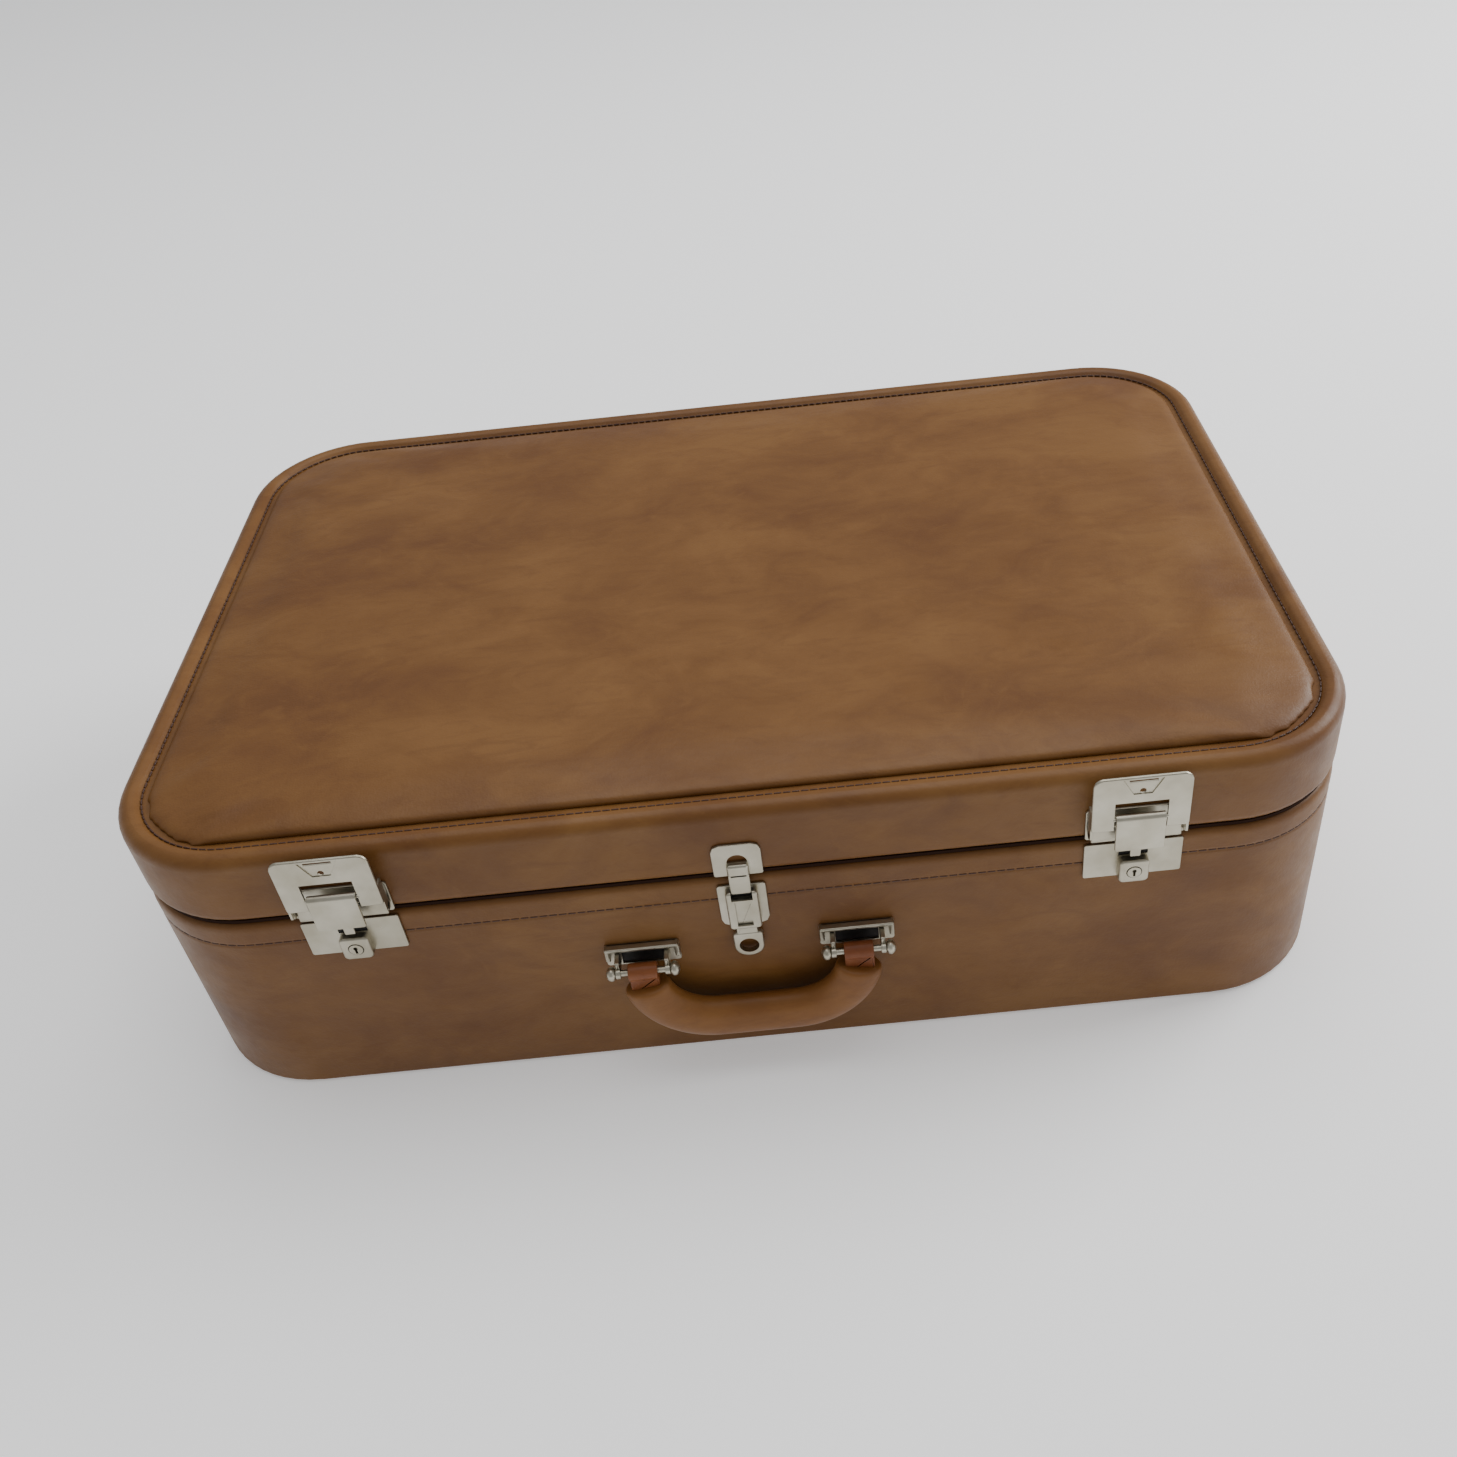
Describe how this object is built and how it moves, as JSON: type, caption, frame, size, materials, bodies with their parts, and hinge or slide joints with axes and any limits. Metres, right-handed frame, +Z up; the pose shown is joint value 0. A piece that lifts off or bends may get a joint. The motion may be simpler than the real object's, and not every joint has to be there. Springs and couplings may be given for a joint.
{
  "type": "suitcase record player",
  "caption": "Leatherette-covered travelling case with padded lid, lever latches, centre catch and drop handle, holding a rim-drive record deck.",
  "frame": {"origin": "middle of the case's underside", "axes": "+X along the width to the right seen from the handle side, +Y to the hinge side, +Z up"},
  "size_m": [0.6, 0.4282, 0.1691],
  "materials": {
    "leatherette": "semi-gloss",
    "padded_leatherette": "semi-gloss",
    "grip_leather": "semi-gloss",
    "board": "matt",
    "lining": "matt",
    "nickel": "satin",
    "steel": "satin",
    "aluminium": "satin",
    "rubber": "matt",
    "deck_paint": "satin paint",
    "black_plastic": "satin"
  },
  "bodies": {
    "case_base": {"base_floor": "board", "base_wall": "board", "base_cover": "leatherette", "dust_lip": "lining", "deck_ledge": "board", "lock_plate_left": "nickel", "lock_plate_right": "nickel", "catch_plate": "nickel", "handle_bracket_left": "nickel", "handle_bracket_right": "nickel", "handle_pin_left": "nickel", "handle_pin_right": "nickel", "hinge_base_leaf_left": "steel", "hinge_base_leaf_right": "steel", "hinge_pin_left": "steel", "hinge_pin_right": "steel", "deck_plate": "deck_paint", "speaker_grille": "aluminium", "speaker": "black_plastic", "amplifier": "black_plastic", "mains_inlet": "black_plastic", "bearing_housing": "steel", "motor": "steel", "idler_arm": "steel", "tonearm_base": "aluminium", "arm_rest": "black_plastic"},
    "lid": {"lid_wall": "board", "lid_board": "board", "lid_cover": "leatherette", "lid_top_panel": "padded_leatherette", "lid_lining": "lining", "hinge_lid_leaf_left": "steel", "hinge_lid_leaf_right": "steel", "latch_plate_left": "nickel", "latch_plate_right": "nickel", "catch_keeper": "nickel"},
    "lever_left": {"latch_lever_left": "nickel"},
    "lever_right": {"latch_lever_right": "nickel"},
    "hook_left": {"latch_hook_left": "nickel"},
    "hook_right": {"latch_hook_right": "nickel"},
    "lock_left": {"lock_cylinder_left": "nickel"},
    "lock_right": {"lock_cylinder_right": "nickel"},
    "catch": {"catch_slide": "nickel"},
    "handle": {"handle_tab_left": "grip_leather", "handle_tab_right": "grip_leather", "handle_grip": "grip_leather"},
    "turntable": {"platter": "aluminium", "platter_mat": "rubber", "spindle": "steel"},
    "idler": {"idler_wheel": "rubber"},
    "pulley": {"motor_pulley": "aluminium"},
    "arm_yoke": {"tonearm_yoke": "steel"},
    "arm": {"tonearm": "aluminium", "cartridge": "black_plastic", "counterweight": "steel"},
    "volume": {"volume_knob": "black_plastic"},
    "tone": {"tone_knob": "black_plastic"},
    "selector": {"speed_selector": "black_plastic"}
  },
  "joints": [
    {"name": "lid_hinge", "type": "hinge", "parent": "case_base", "child": "lid", "pos_m": [0, 0.2032, 0.1235], "axis": [-1, 0, 0], "range_deg": [0, 100]},
    {"name": "latch_lever_left", "type": "hinge", "parent": "lid", "child": "lever_left", "pos_m": [-0.187, -0.2042, 0.1315], "axis": [1, 0, 0], "range_deg": [0, 110]},
    {"name": "latch_hook_left", "type": "hinge", "parent": "lever_left", "child": "hook_left", "pos_m": [-0.187, -0.2086, 0.1435], "axis": [1, 0, 0], "range_deg": [-127, 0]},
    {"name": "lock_turn_left", "type": "hinge", "parent": "case_base", "child": "lock_left", "pos_m": [-0.187, -0.205, 0.10535], "axis": [0, -1, 0], "range_deg": [0, 90]},
    {"name": "latch_lever_right", "type": "hinge", "parent": "lid", "child": "lever_right", "pos_m": [0.187, -0.2042, 0.1315], "axis": [1, 0, 0], "range_deg": [0, 110]},
    {"name": "latch_hook_right", "type": "hinge", "parent": "lever_right", "child": "hook_right", "pos_m": [0.187, -0.2086, 0.1435], "axis": [1, 0, 0], "range_deg": [-127, 0]},
    {"name": "lock_turn_right", "type": "hinge", "parent": "case_base", "child": "lock_right", "pos_m": [0.187, -0.205, 0.10535], "axis": [0, -1, 0], "range_deg": [0, 90]},
    {"name": "catch_pull", "type": "slide", "parent": "case_base", "child": "catch", "axis": [0, 0, -1], "range_m": [0, 0.004], "stiffness_N_per_m": 300, "springref_m": -0.003},
    {"name": "handle_swing", "type": "hinge", "parent": "case_base", "child": "handle", "pos_m": [0, -0.211, 0.075], "axis": [-1, 0, 0], "range_deg": [0, 150]},
    {"name": "platter_spin", "type": "hinge", "parent": "case_base", "child": "turntable", "pos_m": [-0.115, 0.005, 0.095], "axis": [0, 0, -1], "continuous": true},
    {"name": "idler_spin", "type": "hinge", "parent": "case_base", "child": "idler", "pos_m": [-0.20737, -0.04058, 0.095], "axis": [0, 0, -1], "continuous": true},
    {"name": "pulley_spin", "type": "hinge", "parent": "case_base", "child": "pulley", "pos_m": [-0.18907, -0.03155, 0.09], "axis": [0, 0, -1], "continuous": true},
    {"name": "tonearm_swing", "type": "hinge", "parent": "case_base", "child": "arm_yoke", "pos_m": [0.075, 0.105, 0.123], "axis": [0, 0, -1], "range_deg": [0, 47]},
    {"name": "tonearm_lift", "type": "hinge", "parent": "arm_yoke", "child": "arm", "pos_m": [0.075, 0.105, 0.123], "axis": [-1, 0, 0], "range_deg": [0, 6]},
    {"name": "volume_turn", "type": "hinge", "parent": "case_base", "child": "volume", "pos_m": [0.172, -0.12, 0.1], "axis": [0, 0, -1], "range_deg": [0, 300]},
    {"name": "tone_turn", "type": "hinge", "parent": "case_base", "child": "tone", "pos_m": [0.24, -0.12, 0.1], "axis": [0, 0, -1], "range_deg": [0, 300]},
    {"name": "speed_select", "type": "hinge", "parent": "case_base", "child": "selector", "pos_m": [0.022, -0.164, 0.092], "axis": [0, 0, 1], "range_deg": [-35, 35]}
  ],
  "couplings": [
    {"joint": "latch_hook_left", "follows": "latch_lever_left", "ratio": -1.15},
    {"joint": "latch_hook_right", "follows": "latch_lever_right", "ratio": -1.15},
    {"joint": "idler_spin", "follows": "platter_spin", "ratio": 7.0882},
    {"joint": "pulley_spin", "follows": "platter_spin", "ratio": -41.552}
  ]
}
